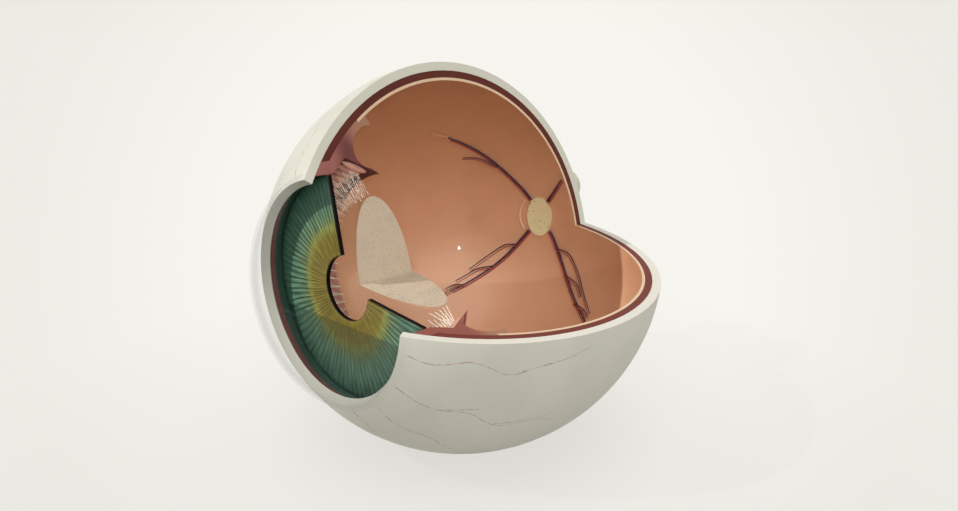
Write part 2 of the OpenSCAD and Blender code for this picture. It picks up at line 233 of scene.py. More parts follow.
# %% Moulded plastic's slight unevenness: broad patches of tone and a fine skin
def make_moulding():
    tree, given, out = new_group("moulding", {"Patch": 60.0, "Skin": 900.0}, ["Tone", "Height"])
    place = solid_place(tree)
    broad = cloudy(tree, place, given["Patch"], 4.0)
    fine = cloudy(tree, place, given["Skin"], 2.0)
    tree.links.new(broad, out["Tone"])
    tree.links.new(maths(tree, "ADD", maths(tree, "MULTIPLY", broad, 0.3), fine), out["Height"])
    return tree


moulding = make_moulding()


# %% Edges rubbed by handling: the rounded normal differs from the real one only near an edge
def make_edge_wear():
    tree, given, out = new_group("edge_wear", {"Reach": 0.6, "Strength": 1.0}, ["Mask"])
    rounded = put(tree, "Bevel", maths(tree, "MULTIPLY", given["Reach"], MM), samples=4).outputs[0]
    real = put(tree, "NewGeometry").outputs["Normal"]
    bend = maths(tree, "SUBTRACT", 1.0, vector_maths(tree, "DOT_PRODUCT", rounded, real), clamp=True)
    place = solid_place(tree)
    patchy = cloudy(tree, place, 260.0, 3.0)
    worn = maths(tree, "MULTIPLY", soft_step(tree, bend, 0.02, 0.22), soft_step(tree, patchy, 0.38, 0.62))
    tree.links.new(maths(tree, "MULTIPLY", worn, given["Strength"], clamp=True), out["Mask"])
    return tree


edge_wear = make_edge_wear()
print("groups:", [g.name for g in bpy.data.node_groups])

# %% [markdown]
# ## The start of every material
#
# Most of the model is painted, moulded plastic: a satin surface whose tone drifts a little, with a fine
# skin and lighter, rubbed edges. This function makes that base and hands back its sockets, so that each
# finish only adds what is its own.

# %% Painted plastic
def plastic(name, colour, roughness=0.45, drift=0.06, skin_height=0.02, patch=60.0, skin=900.0, wear=0.25,
            worn_colour=None, specular=0.35):
    """A material with its nodes; returns it with its tree, its shader and its colour so far."""
    material, tree, shader = start_material(name)
    shader.inputs["Specular IOR Level"].default_value = specular
    surface = use_group(tree, moulding, Patch=patch, Skin=skin)
    if isinstance(colour, tuple):
        darker = tuple(c * (1 - drift) for c in colour)
        lighter = tuple(min(1, c * (1 + drift)) for c in colour)
        tone = soft_step(tree, surface["Tone"], 0.3, 0.7)
        colour = blend_colour(tree, tone, darker, lighter)
        worn_colour = worn_colour or tuple(min(1, c * 1.25 + 0.03) for c in lighter)
    edges = use_group(tree, edge_wear, Strength=wear)["Mask"]
    colour = blend_colour(tree, edges, colour, worn_colour or (0.8, 0.75, 0.65))
    tree.links.new(colour, shader.inputs["Base Color"])
    rough = spread(tree, surface["Tone"], 0.3, 0.7, roughness - 0.05, roughness + 0.07)
    tree.links.new(rough, shader.inputs["Roughness"])
    bump = put(tree, "Bump", sockets={"Strength": 0.35, "Distance": skin_height * MM, "Height": surface["Height"]})
    tree.links.new(bump.outputs[0], shader.inputs["Normal"])
    return material, tree, shader, colour, bump


def wear_on(node, material):
    """Gives a solid part its finish."""
    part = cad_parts[node]
    part.data.materials.clear()
    part.data.materials.append(material)


print("plastic ready")

# %% [markdown]
# ## The white of the eye
#
# The outer coat is thick ivory plastic. Fine blood vessels are painted on it: they start at the edge of
# the window and run back in slow waves. A painted line has no height, so it belongs in the material. Each
# line is a narrow band about a chosen angle round the axis, and the angle sways as the line runs back.

# %% One painted line
LINE_WIDTH = 0.42       # mm at its start; it thins out to nothing
LINE_PERIOD = 20.0      # degrees from wave to wave, seen from the eyeball's middle
LINE_SHAKE = 2.2        # degrees, the hand's unsteadiness


def make_painted_line():
    inputs = {"Turn": 0.0, "Lean": 0.0, "Start": 34.0, "End": 70.0, "Sway": 1.4, "Phase": 0.0}
    tree, given, out = new_group("painted_line", inputs, ["Mask"])
    here = use_group(tree, about_axis)
    back = maths(tree, "SUBTRACT", here["Away"], given["Start"])
    wave = maths(tree, "SINE", maths(tree, "ADD", maths(tree, "MULTIPLY", back, 2 * math.pi / LINE_PERIOD),
                                     given["Phase"]))
    place = solid_place(tree)
    shake = cloudy(tree, place, 110.0, 3.0)
    shake = maths(tree, "MULTIPLY", maths(tree, "SUBTRACT", shake, 0.5), LINE_SHAKE)
    middle = maths(tree, "ADD", given["Turn"], maths(tree, "MULTIPLY", back, given["Lean"]))
    middle = maths(tree, "ADD", middle, maths(tree, "MULTIPLY", wave, given["Sway"]))
    middle = maths(tree, "ADD", middle, shake)
    off = maths(tree, "SUBTRACT", here["Angle"], middle)
    arc = maths(tree, "MULTIPLY", maths(tree, "ABSOLUTE", off),
                maths(tree, "MULTIPLY", here["Radius"], math.pi / 180))
    fade = maths(tree, "DIVIDE", maths(tree, "SUBTRACT", given["End"], here["Away"]),
                 maths(tree, "SUBTRACT", given["End"], given["Start"]))
    half = maths(tree, "MULTIPLY", LINE_WIDTH, maths(tree, "MULTIPLY", fade, 0.5, clamp=True))
    line = maths(tree, "SUBTRACT", 1.0, maths(tree, "DIVIDE", arc, maths(tree, "ADD", half, 0.05)), clamp=True)
    inside = maths(tree, "MULTIPLY", soft_step(tree, back, -0.5, 0.5), soft_step(tree, fade, 0.0, 0.12))
    tree.links.new(maths(tree, "MULTIPLY", soft_step(tree, line, 0.0, 0.6), inside), out["Mask"])
    return tree


painted_line = make_painted_line()

# %% The ivory coat with its painted vessels
IVORY = (0.765, 0.745, 0.635)
SAWN_IVORY = (0.89, 0.85, 0.735)
# painted shade for the far sawn face behind its front end
SHADED_SAWN_IVORY = (0.80, 0.79, 0.655)
# painted shade for the window's edge face
RIM_SHADE_IVORY = (0.56, 0.545, 0.455)
VESSEL_PAINT = (0.42, 0.11, 0.10)
SKIN = 0.15 * MM       # how deep the painted skin goes
# Turn about the axis, lean, where it starts and ends from the front, sway and its phase
EPISCLERAL = [
    (-15, 0.0, 33, 72, 1.6, 3.0), (-36, 0.0, 33, 84, 1.6, 2.0), (-55, -0.1, 33, 82, 1.8, 2.5),
    (-76, 0.05, 33, 60, 1.4, 1.0), (-97, 0.0, 33, 68, 1.4, 3.0), (-117, 0.1, 33, 62, 1.2, 5.0),
    (-137, 0.0, 33, 72, 1.4, 0.5), (-158, -0.08, 33, 64, 1.3, 2.5), (-179, 0.0, 33, 70, 0.5, 4.5),
    (162, 0.06, 33, 66, 1.3, 1.5), (147, 0.0, 33, 60, 1.4, 3.5), (131, -0.5, 35, 61, 1.0, 5.5),
    (111, 0.12, 33, 64, 1.2, 0.8),
    # side branches
    (-16, 0.3, 60, 80, 0, 0), (-35, 0.5, 47, 58, 0, 0), (-37, 0.3, 60, 76, 0, 0),
]


def ivory_coat():
    material, tree, shader, colour, bump = plastic("ivory_coat", IVORY, roughness=0.5, drift=0.04,
                                                   skin_height=0.03, patch=45, skin=700, wear=0.2)
    lines = None
    for turn, lean, start, end, sway, phase in EPISCLERAL:
        mask = use_group(tree, painted_line, Turn=float(turn), Lean=float(lean), Start=float(start),
                         End=float(end), Sway=float(sway), Phase=float(phase))["Mask"]
        lines = mask if lines is None else maths(tree, "MAXIMUM", lines, mask)
    place = solid_place(tree)
    # the lines stay on the coat's outside, and their paint has worn to dots here and there
    from_middle = vector_maths(tree, "MULTIPLY", vector_maths(tree, "SUBTRACT", place, (0, 0, AXIS_HEIGHT)),
                               (1 / EYE_STRETCH, 1, 1))
    outside = maths(tree, "GREATER_THAN", vector_maths(tree, "LENGTH", from_middle), EYE_RADIUS - SKIN)
    thin = spread(tree, cloudy(tree, place, 620.0, 2.0), 0.40, 0.58, 0.2, 0.95)
    lines = maths(tree, "MULTIPLY", maths(tree, "MULTIPLY", lines, outside), thin)
    # the sawn faces are paler, and painted shade makes the far one greyer behind its front end
    here = use_group(tree, about_axis)
    sawn = use_group(tree, cut_faces)
    colour = blend_colour(tree, sawn["Either"], colour, SAWN_IVORY)
    far_cut_shade = maths(tree, "MULTIPLY", sawn["Far"], soft_step(tree, here["Along"], -62.0, -56.0))
    colour = blend_colour(tree, far_cut_shade, colour, SHADED_SAWN_IVORY)
    # painted shade darkens the window's edge face, which closes in as it runs back
    closing = maths(tree, "MULTIPLY", maths(tree, "SUBTRACT", here["Along"], WINDOW_EDGE[1]), WINDOW_CLOSING)
    within = maths(tree, "LESS_THAN", maths(tree, "ADD", here["Radius"], closing), WINDOW_EDGE[0])
    rim = maths(tree, "MULTIPLY", maths(tree, "GREATER_THAN", here["Along"], WINDOW_START), within)
    colour = blend_colour(tree, rim, colour, RIM_SHADE_IVORY)
    painted = blend_colour(tree, lines, colour, VESSEL_PAINT)
    tree.links.new(painted, shader.inputs["Base Color"])
    return material


wear_on("sclera_shell", ivory_coat())
print("ivory coat with", len(EPISCLERAL), "painted vessels")

# %% [markdown]
# ## The middle coat and the retina
#
# The middle coat is dark red-brown all through, with painted light on its near cut. The retina is painted
# orange-brown on its inner face, with the soft, cloudy tone of that layer, and its sawn edges show the pale
# plastic underneath. Painted shade turns it brown under the top of the bowl, and painted light makes it a
# lighter orange low down and towards the front. A thin clear varnish over it gives the small hard glint.

# %% The dark middle coat
def dark_coat():
    material, tree, shader, colour, bump = plastic("dark_coat", (0.135, 0.032, 0.023), roughness=0.6, drift=0.12,
                                                   wear=0.1, specular=0.15)
    # painted light: the near cut, which faces the key lamp, is painted lighter than the rest of the coat
    colour = blend_colour(tree, use_group(tree, cut_faces)["Near"], colour, (0.20, 0.05, 0.037))
    tree.links.new(colour, shader.inputs["Base Color"])
    return material


wear_on("choroid_shell", dark_coat())


# %% The retina
def retina_paint():
    material, tree, shader, colour, bump = plastic("retina_paint", (0.76, 0.415, 0.235), roughness=0.36,
                                                   drift=0.05, patch=70, skin=600, skin_height=0.04, wear=0.0)
    place = solid_place(tree)
    cloud = cloudy(tree, place, 26.0, 6.0, 0.6)
    colour = blend_colour(tree, soft_step(tree, cloud, 0.35, 0.65), colour, (0.80, 0.455, 0.27))
    speck = soft_step(tree, cloudy(tree, place, 520.0, 2.0), 0.64, 0.72)
    colour = blend_colour(tree, maths(tree, "MULTIPLY", speck, 0.12), colour, (0.55, 0.24, 0.13))
    # painted shade makes it brown under the top of the bowl, and painted light makes it lighter low down and
    # towards the front
    up = height_over_axis(tree, place)
    high = soft_step(tree, up, 4.0, 60.0)
    colour = blend_colour(tree, maths(tree, "MULTIPLY", high, 0.9), colour, (0.62, 0.315, 0.165))
    painted_light_low = soft_step(tree, up, -4.0, -34.0)
    colour = blend_colour(tree, maths(tree, "MULTIPLY", painted_light_low, 0.85), colour, (0.93, 0.56, 0.345))
    here = use_group(tree, about_axis)
    painted_light_ahead = maths(tree, "MULTIPLY", soft_step(tree, here["Along"], 5.0, -32.0), maths(tree, "SUBTRACT", 1.0, high))
    colour = blend_colour(tree, maths(tree, "MULTIPLY", painted_light_ahead, 0.75), colour, (1.0, 0.66, 0.40))
    # the sawn edges and the moulded front edge
    colour = blend_colour(tree, use_group(tree, cut_faces)["Either"], colour, (0.88, 0.63, 0.40))
    rim = maths(tree, "LESS_THAN", here["Along"], RETINA_FRONT)
    colour = blend_colour(tree, rim, colour, (0.50, 0.31, 0.14))
    tree.links.new(colour, shader.inputs["Base Color"])
    shader.inputs["Specular IOR Level"].default_value = 0.2
    shader.inputs["Coat Weight"].default_value = 0.4
    shader.inputs["Coat Roughness"].default_value = 0.05
    return material


wear_on("retina_shell", retina_paint())
print("coats finished")

# %% [markdown]
# ## The ciliary body, its fingers and the fibres
#
# The ring is mauve-brown, with painted shade beside the fingers and along the iris, and it fades into the
# retina's colour behind. Its fingers are a lighter salmon, paler on their crests, where paint rubs thin. The
# fibres are fine off-white threads that are clear here and there, so the ring shows between them; a faint
# painted glow keeps them bright.

# %% How far round the axis a point is from the far cut, over the kept side
def turned_from_cut(tree, angle):
    return maths(tree, "FLOORED_MODULO", maths(tree, "SUBTRACT", angle, math.degrees(FAR_CUT)), 360.0)


# %% Mauve ring
FINGER_FACE_PLACE = sum(a * b for a, b in zip(FINGER_FACE_OUT, FINGER_FACE_TIP))
RIDGES = 63 * 3         # fine ridges round the ring, in a full turn


def mauve_ring():
    material, tree, shader, colour, bump = plastic("mauve_ring", (0.40, 0.145, 0.118), roughness=0.5, drift=0.12,
                                                   patch=120, skin=900, skin_height=0.04, wear=0.2)
    here = use_group(tree, about_axis)
    cuts = use_group(tree, cut_faces)
    moulded = maths(tree, "SUBTRACT", 1.0, cuts["Either"])
    # painted shade makes the face under the fingers maroon near the far cut, where the ring's top is in shadow, and
    # paler further round
    out, back = (maths(tree, "MULTIPLY", here[name], share)
                 for name, share in zip(("Radius", "Along"), FINGER_FACE_OUT))
    off = maths(tree, "SUBTRACT", maths(tree, "ADD", out, back), FINGER_FACE_PLACE)
    on_face = maths(tree, "MULTIPLY", maths(tree, "LESS_THAN", maths(tree, "ABSOLUTE", off), 0.25), moulded)
    further = soft_step(tree, turned_from_cut(tree, here["Angle"]), 25.0, 60.0)
    face = blend_colour(tree, further, (0.11, 0.028, 0.030), (0.74, 0.38, 0.35))
    colour = blend_colour(tree, on_face, colour, face)
    # the near cut is deeper, and painted shade deepens the far cut to maroon beside the fingers
    colour = blend_colour(tree, cuts["Near"], colour, (0.32, 0.095, 0.070))
    beside = maths(tree, "MULTIPLY", soft_step(tree, off, 11.0, 3.5), soft_step(tree, here["Along"], -53.0, -46.0))
    shade_by_fingers = maths(tree, "MULTIPLY", maths(tree, "MULTIPLY", beside, cuts["Far"]), 0.9)
    colour = blend_colour(tree, shade_by_fingers, colour, (0.16, 0.042, 0.040))
    # painted shade makes the root's inner face a dark red, and next to the iris it carries the dark green of the
    # iris's painted shadow
    root_shade = maths(tree, "MULTIPLY", maths(tree, "LESS_THAN", here["Radius"], ROOT_REACH),
                 maths(tree, "MULTIPLY", maths(tree, "LESS_THAN", here["Along"], ROOT_END), moulded))
    colour = blend_colour(tree, root_shade, colour, (0.17, 0.045, 0.036))
    green = maths(tree, "MULTIPLY", root_shade, maths(tree, "GREATER_THAN", here["Along"], IRIS_AT - 2.3))
    colour = blend_colour(tree, green, colour, (0.022, 0.062, 0.042))
    # the mauve thins out over the orange at the back
    rear = maths(tree, "MULTIPLY", soft_step(tree, here["Along"], -45.5, -39.5),
                 soft_step(tree, here["Radius"], 43.5, 48.0))
    colour = blend_colour(tree, maths(tree, "MULTIPLY", rear, 0.92), colour, (0.43, 0.22, 0.125))
    tree.links.new(colour, shader.inputs["Base Color"])
    ridges = maths(tree, "SINE", maths(tree, "MULTIPLY", here["Angle"], math.pi / 180 * RIDGES))
    tree.links.new(maths(tree, "ADD", bump.inputs["Height"].links[0].from_socket,
                         maths(tree, "MULTIPLY", ridges, 0.4)), bump.inputs["Height"])
    return material


wear_on("ciliary_body", mauve_ring())


# %% Salmon fingers
wear_on("ciliary_processes", plastic("salmon_fingers", (0.84, 0.43, 0.325), roughness=0.45, drift=0.08,
                                     patch=300, skin=1500, skin_height=0.03, wear=0.3)[0])

# %% Off-white threads
THREAD_PAINTED_GLOW = 0.20      # painted glow: the threads give off a little light of their own, which keeps them bright over the dark ring


def pale_threads():
    material, tree, shader, colour, bump = plastic("pale_threads", (0.93, 0.84, 0.70), roughness=0.55, drift=0.05,
                                                   patch=400, skin=3000, skin_height=0.01, wear=0.0)
    tree.links.new(colour, shader.inputs["Emission Color"])
    shader.inputs["Emission Strength"].default_value = THREAD_PAINTED_GLOW
    # by the far cut the threads are fine rows of dots, and elsewhere they thin out only here and there
    thick = cloudy(tree, solid_place(tree), 1500.0, 1.0)
    dotted = spread(tree, thick, 0.42, 0.58, 0.08, 0.72)
    whole = spread(tree, thick, 0.34, 0.48, 0.35, 1.0)
    further = soft_step(tree, turned_from_cut(tree, use_group(tree, about_axis)["Angle"]), 45.0, 60.0)
    tree.links.new(put(tree, "Mix", further, sockets={"A": dotted, "B": whole}).outputs[0], shader.inputs["Alpha"])
    return material


wear_on("zonule_fibres", pale_threads())
print("ciliary body finished")

# %% [markdown]
# ## The lens
#
# The lens is a clear casting that was sawn along both cuts. Its curved faces are polished and nearly
# vanish; its sawn faces are frosted and catch the light as beige, with dark pits in rows where the saw
# went. One mesh carries both finishes, so the piece is built here as a turned outline with the two flat
# faces closing it.

# %% A turned body with the wedge left out
def about(x, r, phi):
    """A point x along the axis, r from it and phi about it."""
    return (x, -r * math.cos(phi), AXIS_HEIGHT + r * math.sin(phi))


KEPT = 2 * math.pi - (FAR_CUT - NEAR_CUT)


def new_piece(name, points, faces, materials, chosen=None, smooth=True):
    mesh = bpy.data.meshes.new(name)
    mesh.from_pydata(points, [], faces)
    for material in materials:
        mesh.materials.append(material)
    for face in mesh.polygons:
        face.use_smooth = smooth
        if chosen:
            face.material_index = chosen[face.index]
    mesh.update()
    piece = bpy.data.objects.new(name, mesh)
    bpy.context.scene.collection.objects.link(piece)
    return piece


LENS_RADIUS = 28.3 * MM
LENS_FRONT = 10.4 * MM
LENS_BACK = 12.5 * MM
LENS_MIDDLE = -39.2 * MM


def lens_mesh():
    around, along = 96, 40
    outline = []
    for i in range(along + 1):
        turn = math.pi * i / along
        depth = LENS_FRONT if i < along / 2 else LENS_BACK
        outline.append((LENS_MIDDLE - depth * math.cos(turn), LENS_RADIUS * math.sin(turn)))
    points = [(outline[0][0], 0, AXIS_HEIGHT), (outline[-1][0], 0, AXIS_HEIGHT)]
    for k in range(around + 1):
        phi = FAR_CUT + KEPT * k / around
        points += [about(x, r, phi) for x, r in outline[1:-1]]
    row = along - 1
    faces = []
    for k in range(around):
        a, b = 2 + k * row, 2 + (k + 1) * row
        faces.append((0, a, b))
        faces += [(a + i, a + i + 1, b + i + 1, b + i) for i in range(row - 1)]
        faces.append((a + row - 1, 1, b + row - 1))
    chosen = [0] * len(faces)
    for k in (0, around):
        ring = [0, *range(2 + k * row, 2 + (k + 1) * row), 1]
        faces.append(tuple(ring if k else reversed(ring)))
        chosen.append(1)
    return points, faces, chosen


# %% Clear casting and frosted saw cut
def clear_casting():
    material, tree, shader = start_material("clear_casting")
    surface = use_group(tree, moulding, Patch=80.0, Skin=400.0)
    colour = blend_colour(tree, surface["Tone"], (0.92, 0.76, 0.48), (0.97, 0.82, 0.55))
    tree.links.new(colour, shader.inputs["Base Color"])
    shader.inputs["Roughness"].default_value = 0.12
    edge = put(tree, "LayerWeight", 0.35).outputs["Facing"]
    tree.links.new(spread(tree, edge, 0.0, 1.0, 0.07, 0.18), shader.inputs["Alpha"])
    bump = put(tree, "Bump", sockets={"Strength": 0.2, "Distance": 0.02 * MM, "Height": surface["Height"]})
    tree.links.new(bump.outputs[0], shader.inputs["Normal"])
    return material


PIT_ROW = 0.95 * MM     # from one row of saw pits to the next


def frosted_cut():
    material, tree, shader, colour, bump = plastic("frosted_cut", (0.70, 0.57, 0.42), roughness=0.6, drift=0.03,
                                                   patch=200, skin=2500, skin_height=0.05, wear=0.0)
    # rows of fine dark pits, left by the saw, follow arcs about the lens's middle
    from_middle = vector_maths(tree, "SUBTRACT", solid_place(tree),
                               (LENS_MIDDLE, 0, AXIS_HEIGHT))
    rows = vector_maths(tree, "LENGTH", vector_maths(tree, "MULTIPLY", from_middle, (1.6, 1.0, 1.0)))
    in_row = maths(tree, "SINE", maths(tree, "MULTIPLY", rows, 2 * math.pi / PIT_ROW))
    dots = put(tree, "TexVoronoi", sockets={"Vector": from_middle, "Scale": 1350.0, "Randomness": 0.7})
    # they are larger on the near cut
    size = maths(tree, "ADD", 0.37, maths(tree, "MULTIPLY", use_group(tree, cut_faces)["Near"], 0.16))
    pits = soft_step(tree, dots.outputs["Distance"], size, maths(tree, "SUBTRACT", size, 0.15))
    pits = maths(tree, "MULTIPLY", pits, soft_step(tree, in_row, 0.0, 0.6))
    broad = cloudy(tree, from_middle, 130.0, 3.0)
    pits = maths(tree, "MULTIPLY", pits, spread(tree, broad, 0.38, 0.6, 0.35, 0.9))
    colour = blend_colour(tree, pits, colour, (0.30, 0.25, 0.15))
    tree.links.new(colour, shader.inputs["Base Color"])
    return material


points, faces, chosen = lens_mesh()
lens = new_piece("clear_lens", points, faces, [clear_casting(), frosted_cut()], chosen)
for face in lens.data.polygons[-2:]:
    face.use_smooth = False
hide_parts("lens")
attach(lens, "lens")
print("lens faces:", len(faces))

# %% [markdown]
# ## The iris
#
# The iris is the most detailed part: radial folds run from the pupil to the window, coarse and green
# outside, fine and olive inside, and a raised ring parts the two zones. The folds catch the light along
# their length, so they are real geometry: a fine grid of points about the axis, each moved back from the
# front by a height that depends on its angle and its distance from the pupil.
#
# Under the overhanging edge of the window a crescent of the iris lies in shadow, and the lowest part lies in
# shade. Both are partly painted shadow and shade, as the lamps alone leave them too light. Painted shade
# also darkens the grooves between the folds.

# %% Heights of the folds
IRIS_INNER, IRIS_OUTER = (reach * MM for reach in IRIS_REACH)
IRIS_FRONT = -IRIS_AT * MM
IRIS_THICK = 0.7 * MM
FOLDS = 90                # folds in a full turn


def wave(turns):
    """0 in a groove and 1 on a rounded crest."""
    return abs(math.sin(math.pi * turns)) ** 0.7


def fold_depth(share, phi):
    """How far the surface lies behind the front; share is 0 at the pupil and 1 at the window."""
    sway = 0.35 * noise.noise((3.1 * math.cos(phi), 3.1 * math.sin(phi), 2.2 * share))
    coarse = wave(phi / (2 * math.pi) * FOLDS + sway)
    fine = wave(phi / (2 * math.pi) * FOLDS * 1.5 + 2 * sway)
    uneven = 0.5 + 0.5 * noise.noise((14 * math.cos(phi), 14 * math.sin(phi), 5 * share))
    outer = min(1, max(0, (share - 0.34) / 0.12))
    inner = 1 - outer
    crest = outer * (0.75 * coarse + 0.25 * fine) + inner * (0.35 * coarse + 0.65 * fine)
    ring = math.exp(-((share - 0.36) / 0.05) ** 2)
    ends = min(1, share / 0.05) * min(1, (1 - share) / 0.04)
    height = (0.25 + 0.6 * crest * (0.6 + 0.4 * uneven) + 0.2 * ring) * (0.35 + 0.65 * ends)
    return (0.46 - 0.44 * min(1, height)) * MM


def iris_mesh():
    around, across = 1000, 56
    points, faces = [], []
    for k in range(around + 1):
        phi = FAR_CUT + KEPT * k / around
        for i in range(across + 1):
            share = i / across
            r = IRIS_INNER + (IRIS_OUTER - IRIS_INNER) * share
            points.append(about(-IRIS_FRONT + fold_depth(share, phi), r, phi))
    back = len(points)
    for k in range(around + 1):
        phi = FAR_CUT + KEPT * k / around
        points += [about(-IRIS_FRONT + IRIS_THICK, r, phi) for r in (IRIS_INNER, IRIS_OUTER)]
    row = across + 1
    for k in range(around):
        a, b = k * row, (k + 1) * row
        faces += [(a + i, b + i, b + i + 1, a + i + 1) for i in range(across)]
        c, d = back + 2 * k, back + 2 * k + 2
        faces += [(c, c + 1, d + 1, d), (a, c, d, b), (b + across, d + 1, c + 1, a + across)]
    last = around * row
    faces.append((*range(0, row), back + 1, back))
    faces.append((back + 2 * around, back + 2 * around + 1, *range(last + across, last - 1, -1)))
    return points, faces


# %% Iris colours
LOWER_SHADE_HEIGHTS = (-12.7, -13.4)     # heights over the axis between which the painted shade of the lower part sets in
# Circles round the lit part, in millimetres towards the near side, up from the axis, and the reach
LIT_CIRCLES = ((3.3, -5.7, 35.4), (4.75, -8.2, 37.1))


def iris_paint():
    material, tree, shader, colour, bump = plastic("iris_paint", (0.03, 0.07, 0.04), roughness=0.42, drift=0.1,
                                                   patch=200, skin=1500, skin_height=0.03, wear=0.0)
    here = use_group(tree, about_axis)
    share = spread(tree, here["Radius"], *IRIS_REACH, 0.0, 1.0)
    radians = maths(tree, "RADIANS", here["Angle"])
    ring_place = put(tree, "CombineXYZ", maths(tree, "COSINE", radians), maths(tree, "SINE", radians),
                     maths(tree, "MULTIPLY", share, 0.10)).outputs[0]
    streaks = cloudy(tree, ring_place, 42.0, 4.0, 0.65)
    patches = cloudy(tree, ring_place, 9.0, 3.0)
    shifted = maths(tree, "ADD", share, maths(tree, "MULTIPLY", maths(tree, "SUBTRACT", patches, 0.5), 0.16))
    base = ramp(tree, shifted, [(0.0, (0.12, 0.095, 0.010)), (0.04, (0.20, 0.16, 0.014)),
                                (0.12, (0.245, 0.185, 0.012)), (0.28, (0.255, 0.205, 0.015)),
                                (0.40, (0.20, 0.24, 0.06)), (0.52, (0.15, 0.275, 0.135)),
                                (0.70, (0.125, 0.275, 0.17)), (0.85, (0.11, 0.25, 0.16)),
                                (0.96, (0.075, 0.185, 0.12)), (1.0, (0.03, 0.08, 0.055))])
    light = ramp(tree, shifted, [(0.0, (0.26, 0.20, 0.02)), (0.12, (0.39, 0.295, 0.022)),
                                 (0.35, (0.34, 0.33, 0.06)), (0.55, (0.25, 0.42, 0.25)), (0.72, (0.21, 0.41, 0.28)),
                                 (0.90, (0.19, 0.37, 0.26)), (0.97, (0.12, 0.26, 0.175)),
                                 (1.0, (0.04, 0.10, 0.07))])
    colour = blend_colour(tree, soft_step(tree, streaks, 0.44, 0.66), base, light)
    dark = soft_step(tree, streaks, 0.42, 0.28)
    colour = blend_colour(tree, maths(tree, "MULTIPLY", dark, 0.45), colour, (0.02, 0.03, 0.014))
    depth = maths(tree, "ADD", here["Along"], -IRIS_AT)
    groove = soft_step(tree, depth, 0.13, 0.27)
    # painted shade darkens the grooves between the folds; it fades towards the window and is softer lower down,
    # where more painted shade deepens the green
    up = maths(tree, "MULTIPLY", here["Radius"], maths(tree, "SINE", radians))
    near = maths(tree, "MULTIPLY", here["Radius"], maths(tree, "COSINE", radians))
    low = soft_step(tree, up, *LOWER_SHADE_HEIGHTS)
    calm = maths(tree, "MAXIMUM", maths(tree, "MULTIPLY", soft_step(tree, share, 0.7, 0.9), 0.4),
                 maths(tree, "MULTIPLY", low, 0.35))
    # a crescent of painted shadow lies under the overhanging edge of the window, outside the lit circles
    painted_shadow_crescent = 0.0
    for middle_near, middle_up, reach in LIT_CIRCLES:
        aside, above = maths(tree, "SUBTRACT", near, middle_near), maths(tree, "SUBTRACT", up, middle_up)
        span = maths(tree, "POWER", maths(tree, "ADD", maths(tree, "MULTIPLY", aside, aside),
                                          maths(tree, "MULTIPLY", above, above)), 0.5)
        painted_shadow_crescent = maths(tree, "MAXIMUM", painted_shadow_crescent, soft_step(tree, span, reach - 0.2, reach + 0.2))
    groove = maths(tree, "MULTIPLY", groove, maths(tree, "SUBTRACT", 0.85, calm))
    groove = maths(tree, "MULTIPLY", groove, soft_step(tree, share, 0.02, 0.08))
    painted_shade = blend_colour(tree, soft_step(tree, share, 0.25, 0.45), (0.075, 0.045, 0.008), (0.014, 0.032, 0.019))
    colour = blend_colour(tree, groove, colour, painted_shade)
    # painted shadow deepens the green in the crescent
    colour = blend_colour(tree, maths(tree, "MULTIPLY", painted_shadow_crescent, 0.62), colour, (0.022, 0.088, 0.060))
    # painted shade darkens the lowest part
    colour = blend_colour(tree, maths(tree, "MULTIPLY", low, 0.54), colour, (0.0, 0.010, 0.007))
    edge = maths(tree, "MAXIMUM", use_group(tree, cut_faces, Depth=0.02)["Either"],
                 maths(tree, "MAXIMUM", maths(tree, "LESS_THAN", here["Radius"], IRIS_REACH[0] + 0.03),
                       maths(tree, "GREATER_THAN", depth, 0.5)))
    colour = blend_colour(tree, edge, colour, (0.004, 0.003, 0.002))
    tree.links.new(colour, shader.inputs["Base Color"])
    return material


points, faces = iris_mesh()
iris = new_piece("iris_folds", points, faces, [iris_paint()])
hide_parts("iris_stroma")
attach(iris, "eyeball")
wear_on("iris_pigment_layer", plastic("black_layer", (0.005, 0.0035, 0.0025), roughness=0.8, drift=0.3, wear=0.1,
                                      worn_colour=(0.03, 0.022, 0.015), specular=0.1)[0])
print("iris faces:", len(faces))

# %% [markdown]
# ## The cornea
#
# The cornea is a thin clear dome. Seen face on it hardly shows; where the eye looks along its wall there is
# more plastic to look through, and the outline turns grey.

# %% Thin clear plastic
def thin_clear():
    material, tree, shader = start_material("thin_clear")
    surface = use_group(tree, moulding, Patch=50.0, Skin=500.0)
    tree.links.new(blend_colour(tree, surface["Tone"], (0.33, 0.34, 0.34), (0.39, 0.40, 0.40)),
                   shader.inputs["Base Color"])
    shader.inputs["Roughness"].default_value = 0.08
    edge = put(tree, "LayerWeight", 0.5).outputs["Facing"]
    alpha = put(tree, "MapRange", edge, 0.45, 0.75, 0.006, 0.125, interpolation_type="SMOOTHSTEP").outputs[0]
    tree.links.new(alpha, shader.inputs["Alpha"])
    bump = put(tree, "Bump", sockets={"Strength": 0.1, "Distance": 0.01 * MM, "Height": surface["Height"]})
    tree.links.new(bump.outputs[0], shader.inputs["Normal"])
    return material


wear_on("cornea", thin_clear())

# %% [markdown]
# ## The optic disc, the nerve and the vessels
#
# The disc is a flat khaki-yellow oval with a few dark specks. The vessels are raised, glossy painted cords:
# navy veins with thinner dark red arteries beside them.

# %% Disc, its margin, the nerve and its sheath
def disc_paint():
    material, tree, shader, colour, bump = plastic("disc_paint", (0.91, 0.85, 0.49), roughness=0.5, drift=0.03,
                                                   patch=220, skin=1200, skin_height=0.03, wear=0.2)
    place = solid_place(tree)
    specks = put(tree, "TexVoronoi", sockets={"Vector": place, "Scale": 420.0}).outputs["Distance"]
    colour = blend_colour(tree, soft_step(tree, specks, 0.14, 0.07), colour, (0.18, 0.11, 0.04))
    tree.links.new(colour, shader.inputs["Base Color"])
    return material


